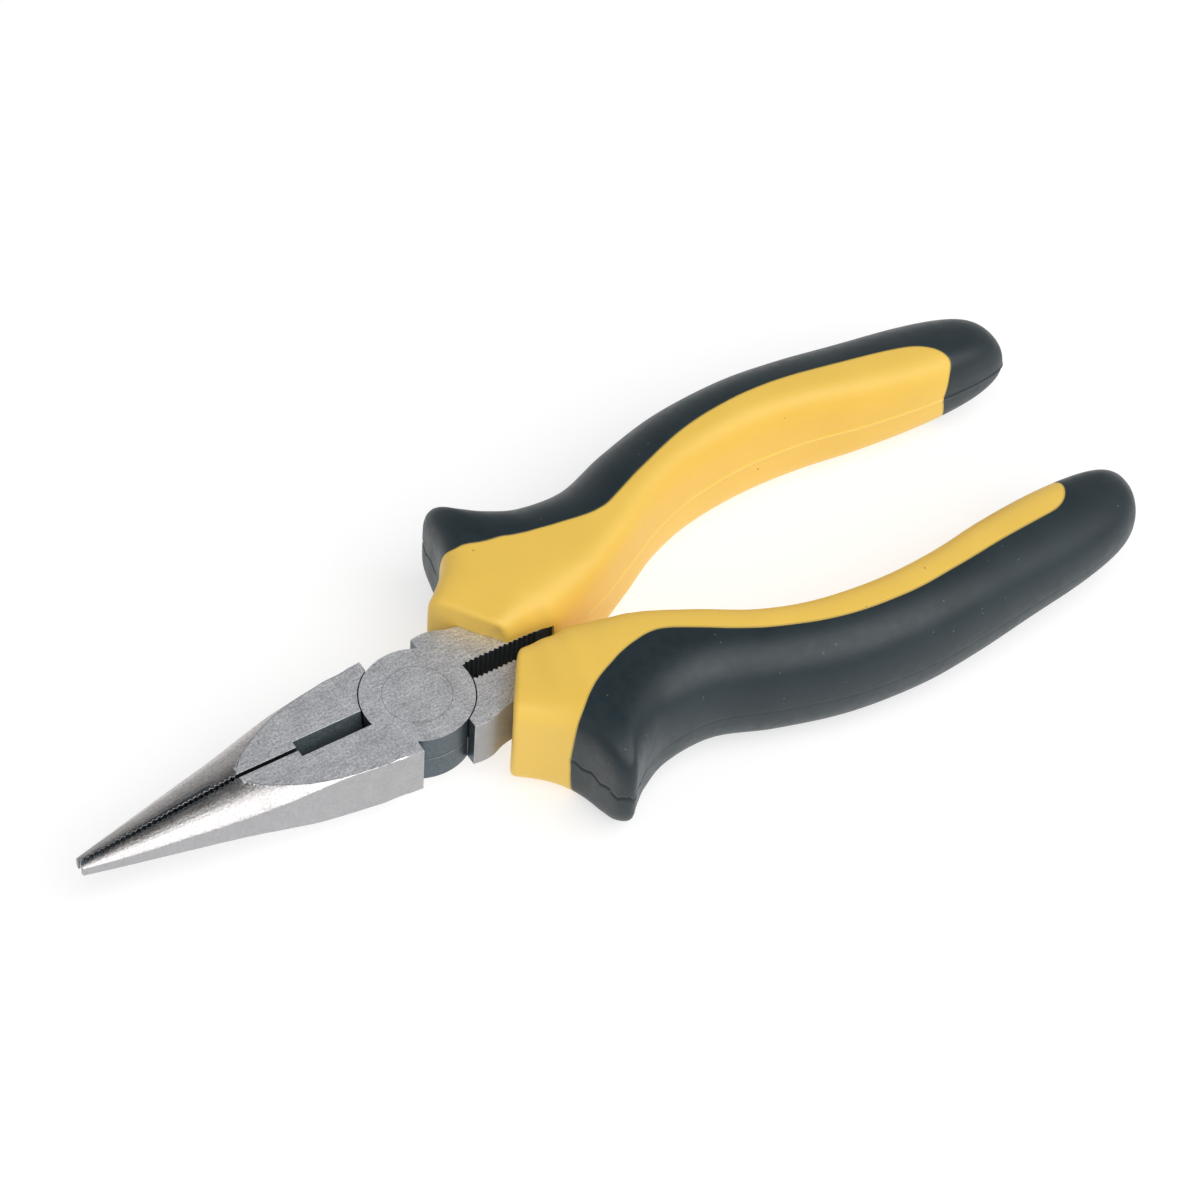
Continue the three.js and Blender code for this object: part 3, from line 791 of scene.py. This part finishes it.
def grip_net():
    """The colour edge, and the vertices and triangles of an unrolled net that follows it."""
    edge = colour_edge()
    from_edge = KDTree(len(edge))
    for i, (a, b) in enumerate(edge):
        from_edge.insert((a, b, 0), i)
    from_edge.balance()
    ahead = np.gradient(edge, axis=0)
    ahead /= np.linalg.norm(ahead, axis=1, keepdims=True)
    side = np.stack([-ahead[:, 1], ahead[:, 0]], axis=1)
    banded = np.vstack([edge + side * offset for offset in EDGE_BANDS])
    clear_of_seam = (banded[:, 1] > 0.05) & (banded[:, 1] < 2 * GIRTH - 0.05)
    banded = banded[clear_of_seam]
    end = ALONG[-1]
    columns = np.concatenate([
        np.arange(0, 1.5, 0.18), np.arange(1.5, end - 3, GRID_STEP), np.arange(end - 3, end, 0.25), [end],
    ])
    half = np.concatenate([
        [0, 0.1, 0.22, 0.4], np.arange(0.8, GIRTH - 0.6, GRID_STEP), GIRTH - np.array([0.4, 0.22, 0.1]),
    ])
    lines = np.concatenate([half, [GIRTH], 2 * GIRTH - half[::-1]])
    base = np.array([(a, b) for a in columns for b in lines])
    distance = np.array([from_edge.find((a, b, 0))[2] for a, b in base])
    on_seam = (base[:, 1] == 0) | (base[:, 1] == 2 * GIRTH)
    # The even net stops where the bands beside the edge take over. The seam keeps its own points.
    base = base[(distance > 0.45) | (on_seam & (distance > 0.15))]
    places = [Vector(place) for place in np.vstack([edge, banded, base])]
    links = [(i, i + 1) for i in range(len(edge) - 1)]
    net = delaunay_2d_cdt(places, links, [], 0, 1e-5)
    vertices = np.array([tuple(v) for v in net[0]])
    faces = np.array([f for f in net[2] if len(f) == 3])
    return edge, vertices, faces


EDGE_LINE, NET, TRIANGLES = grip_net()


def inside(points, polygon):
    """True for each point inside the polygon, by the even and odd rule."""
    x, y = points[:, 0], points[:, 1]
    odd = np.zeros(len(points), bool)
    for (x0, y0), (x1, y1) in zip(polygon, np.roll(polygon, -1, axis=0)):
        if y0 != y1:
            crosses = (y0 > y) != (y1 > y)
            odd ^= crosses & (x < x0 + (y - y0) * (x1 - x0) / (y1 - y0))
    return odd


def distance_to(points, line):
    """Distance in space of each point to a closely spaced line of points."""
    tree = KDTree(len(line))
    for i, point in enumerate(line):
        tree.insert(point, i)
    tree.balance()
    return np.array([tree.find(p)[2] for p in points])


def outer_skin():
    """Points of the net in space, with rounded front edge, parting lines and groove at the colour edge."""
    points = on_grip(NET, SURFACE)
    normals = on_grip(NET, NORMALS)
    inner, outer = GRIP_ROWS[0, 0:2], GRIP_ROWS[0, 2:4]
    across = (outer - inner) / np.linalg.norm(outer - inner)
    back = np.array([across[1], -across[0]])
    depth = np.clip((points[:, :2] - inner) @ back, 0, FRONT_ROUND)
    proud = -(FRONT_ROUND - np.sqrt(FRONT_ROUND**2 - (FRONT_ROUND - depth) ** 2))
    from_edge = distance_to(points, on_grip(EDGE_LINE, SURFACE))
    from_inner = np.minimum(NET[:, 1], 2 * GIRTH - NET[:, 1])
    from_outer = np.abs(NET[:, 1] - GIRTH)
    behind_collar = np.clip((points[:, 0] - 26) / 6, 0, 1)
    outer_depth = OUTER_GROOVE[0] + CRACK_DEPTH * on_guard(NET[:, 0])
    proud -= EDGE_GROOVE[0] * bell(from_edge, EDGE_GROOVE[1])
    proud += INNER_RIDGE[0] * bell(from_inner, INNER_RIDGE[1]) * behind_collar
    proud -= outer_depth * bell(from_outer, OUTER_GROOVE[1])
    return points + normals * proud[:, None]


def under_skin(gap):
    """Points of the net in space sunk to the joint between core and overmould."""
    points = on_grip(NET, SURFACE)
    rows = rows_at(NET[:, 0])
    inner, outer, height = rows[:, 0:2], rows[:, 2:4], rows[:, 4]
    reach = outer - inner
    width = np.linalg.norm(reach, axis=1)
    share = np.einsum("ij,ij->i", points[:, :2] - inner, reach) / width**2
    horn = bell(rows[:, 2] - HORN_X, HORN_REACH) * (rows[:, 3] > HORN_Y)
    outer_inset = OUTER_INSET + (HORN_INSET - OUTER_INSET) * horn
    # Where the grip is narrow or low, an inset takes no more than about a third of it.
    inner_share = np.minimum(INNER_INSET, 0.3 * width) / width
    outer_share = np.minimum(outer_inset, 0.3 * width) / width
    sunk = inner_share + (1 - inner_share - outer_share) * share
    low = 1 - np.minimum(OVERMOULD_DEPTH, 0.35 * height) / height
    under = points.copy()
    under[:, :2] += reach * (sunk - share)[:, None] * (1 - gap)
    under[:, 2] *= low + (1 - low) * gap
    return under


def ring(place_along):
    """The net's vertices in one section, in order round it, without the seam's second copy."""
    found = np.flatnonzero(np.abs(NET[:, 0] - place_along) < 1e-4)
    found = found[np.argsort(NET[found, 1])]
    return [int(i) for i in found[:-1]]


def grip_meshes():
    """Closed meshes of the hard core and of the overmould."""
    centres = NET[TRIANGLES].mean(axis=1)
    far_end = ALONG[-1] + 1
    polygon = np.vstack([EDGE_LINE, [(far_end, 2 * GIRTH), (far_end, 0)]])
    dark = inside(centres, polygon)
    count = len(NET)
    outer = outer_skin()
    core_under, skin_under = under_skin(0), under_skin(SKIN_GAP)
    owner = {}
    for t, (a, b, c) in enumerate(TRIANGLES):
        for pair in ((a, b), (b, c), (c, a)):
            owner[pair] = t
    step = []
    for (a, b), t in owner.items():
        other = owner.get((b, a))
        if dark[t] and other is not None and not dark[other]:
            step.append((a, b))
    front, end = ring(0), ring(ALONG[-1])
    front_sides, end_sides = (list(zip(line, line[1:] + line[:1])) for line in (front, end))
    first_hub, second_hub = 2 * count, 2 * count + 1
    core_points = np.vstack([outer, core_under, outer[front].mean(axis=0), core_under[end].mean(axis=0)])
    core_faces = [tuple(t) for t in TRIANGLES[~dark]] + [tuple(t + count) for t in TRIANGLES[dark]]
    core_faces += [(a, b, b + count, a + count) for a, b in step]
    core_faces += [(first_hub, a, b) for a, b in front_sides]
    core_faces += [(second_hub, b + count, a + count) for a, b in end_sides]
    skin_points = np.vstack([outer, skin_under, outer[end].mean(axis=0), skin_under[end].mean(axis=0)])
    skin_faces = [tuple(t) for t in TRIANGLES[dark]] + [tuple(t[::-1] + count) for t in TRIANGLES[dark]]
    skin_faces += [(b, a, a + count, b + count) for a, b in step]
    skin_faces += [(first_hub, b, a) for a, b in end_sides]
    skin_faces += [(second_hub, a + count, b + count) for a, b in end_sides]
    return closed(core_points, core_faces), closed(skin_points, skin_faces)


def closed(points, faces):
    """A mesh of the faces, without loose points and with the two sides of its seam joined."""
    mesh = raw_mesh(points, faces)
    work = bmesh.new()
    work.from_mesh(mesh)
    loose = [v for v in work.verts if not v.link_faces]
    bmesh.ops.delete(work, geom=loose, context="VERTS")
    bmesh.ops.remove_doubles(work, verts=work.verts, dist=2e-4)
    work.to_mesh(mesh)
    work.free()
    return mesh


def shank_space():
    """The room that the shank takes in the grip, with a gap round it and the whole front open."""
    side = [(x, y + SKIN_GAP) for x, y in smooth(SHANK_SIDE, 6)[:-1] if x > 6.5]
    end_x = SLOT_END_X + SKIN_GAP
    hole = [(0, -2), (end_x, -2), (end_x, SHANK_SIDE[-1][1]), *reversed(side), (0, 12)]
    return prism(hole, -HALF_THICKNESS - SKIN_GAP, HALF_THICKNESS + SKIN_GAP)


def seam_line(start, end, round_about):
    """Closely spaced points along a parting line of the grip."""
    along = np.arange(start, end, 0.1)
    return on_grip(np.stack([along, np.full(len(along), round_about)], axis=1), SURFACE)


def dress_grip(mesh, material):
    """Gives a grip piece its material and its distance in millimetres from each line that is drawn."""
    mesh.materials.append(material)
    mesh.shade_smooth()
    lines = {
        "colour_edge": on_grip(EDGE_LINE, SURFACE),
        "parting": seam_line(PARTING_START, ALONG[-1], 0.0),
        "crack": seam_line(CRACK_START, CRACK_END, GIRTH),
    }
    for name, line in lines.items():
        distance = distance_to([v.co for v in mesh.vertices], line)
        layer = mesh.attributes.new(name, "FLOAT", "POINT")
        layer.data.foreach_set("value", distance.astype(np.float32))
    mesh.set_sharp_from_angle(angle=GRIP_CREASE)


def make_grips():
    core, skin = grip_meshes()
    core = combined(core, "DIFFERENCE", shank_space(), tang(SKIN_GAP))
    dress_grip(core, YELLOW)
    dress_grip(skin, BLACK)
    kinds = ((core, "grip_core_", "hard_grip"), (skin, "grip_overmould_", "soft_grip"))
    for side, body, turned_over in (("a", BODY_A, False), ("b", BODY_B, True)):
        for mesh, kind, slot in kinds:
            obj = place(mesh.copy(), kind + side + "_moulding", body, turned_over)
            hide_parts(kind + side)


# ---- Stage, light and camera ----
FLOOR = 3.0                          # half the side of the floor, in metres
DARK_PATCH = (0.12, 0.40, 0.91)      # direction in which the surroundings are dark
PATCH_RIM = (0.78, 0.95)             # cosines of the angles at which it starts and is darkest
SURROUND_STRENGTH = (0.56, 0.04)     # outside the patch and in it


def make_stage():
    corners = [(-FLOOR, -FLOOR), (FLOOR, -FLOOR), (FLOOR, FLOOR), (-FLOOR, FLOOR)]
    mesh = raw_mesh([(x, y, CAD_LOW.z) for x, y in corners], [(0, 1, 2, 3)])
    nodes = Nodes("pale_floor")
    nodes.set("Base Color", (0.45, 0.45, 0.45))
    nodes.set("Roughness", 0.9)
    nodes.set("Emission Color", (1.0, 1.0, 1.0))
    nodes.set("Emission Strength", 0.62)
    mesh.materials.append(nodes.material)
    link(bpy.data.objects.new("floor", mesh))


def direction(azimuth, elevation):
    """The way from the tool to a viewer. Azimuth 0 is in front of it, at -y."""
    a, e = math.radians(azimuth), math.radians(elevation)
    return Vector((math.sin(a) * math.cos(e), -math.cos(a) * math.cos(e), math.sin(e)))


def area_light(name, azimuth, elevation, distance, size, power):
    """Soft square light aimed at the middle of the tool, placed by azimuth and elevation in degrees."""
    data = bpy.data.lights.new(name, "AREA")
    data.shape = "SQUARE"
    data.size = size
    data.energy = power
    light = link(bpy.data.objects.new(name, data))
    back = direction(azimuth, elevation)
    light.location = (CAD_LOW + CAD_HIGH) / 2 + back * distance
    light.rotation_euler = back.to_track_quat("Z", "Y").to_euler()


def make_lights():
    """Even pale surroundings with one darker patch high behind the tool, a large light and a fill."""
    world = bpy.data.worlds.new("studio")
    bpy.context.scene.world = world
    world.use_nodes = True
    tree = world.node_tree
    place = tree.nodes.new("ShaderNodeTexCoord")
    facing = tree.nodes.new("ShaderNodeVectorMath")
    facing.operation = "DOT_PRODUCT"
    facing.inputs[1].default_value = DARK_PATCH
    strength = tree.nodes.new("ShaderNodeMapRange")
    strength.interpolation_type = "SMOOTHSTEP"
    for name, number in zip(RAMP_INPUTS, PATCH_RIM + SURROUND_STRENGTH):
        strength.inputs[name].default_value = number
    tree.links.new(place.outputs["Generated"], facing.inputs[0])
    tree.links.new(facing.outputs["Value"], strength.inputs["Value"])
    tree.links.new(strength.outputs["Result"], tree.nodes["Background"].inputs["Strength"])
    tree.nodes["Background"].inputs["Color"].default_value = (1, 1, 1, 1)
    area_light("key", azimuth=12, elevation=58, distance=0.9, size=1.0, power=5.8)
    area_light("fill", azimuth=40, elevation=40, distance=1.1, size=0.8, power=1.5)


def make_camera():
    roll = math.radians(VIEW_ROLL)
    back = direction(VIEW_AZIMUTH, VIEW_ELEVATION)
    level = direction(VIEW_AZIMUTH + 90, 0)
    up = back.cross(level)
    right = math.cos(roll) * level + math.sin(roll) * up
    top = math.cos(roll) * up - math.sin(roll) * level
    data = bpy.data.cameras.new("camera")
    data.sensor_width = VIEW_SENSOR
    data.lens = VIEW_LENS
    camera = link(bpy.data.objects.new("camera", data))
    offset = (VIEW_OFFSET[0] * right + VIEW_OFFSET[1] * top + VIEW_OFFSET[2] * back) * MM
    turn = Matrix((right, top, back)).transposed().to_4x4()
    camera.matrix_world = Matrix.Translation(PIVOT + offset) @ turn
    bpy.context.scene.camera = camera


# ---- Build ----
make_lever("lever_a", BODY_A, False)
make_lever("lever_b", BODY_B, True)
make_rivet()
make_grips()
make_stage()
make_lights()
make_camera()
bpy.context.scene.view_settings.view_transform = "Standard"

bpy.context.view_layer.update()
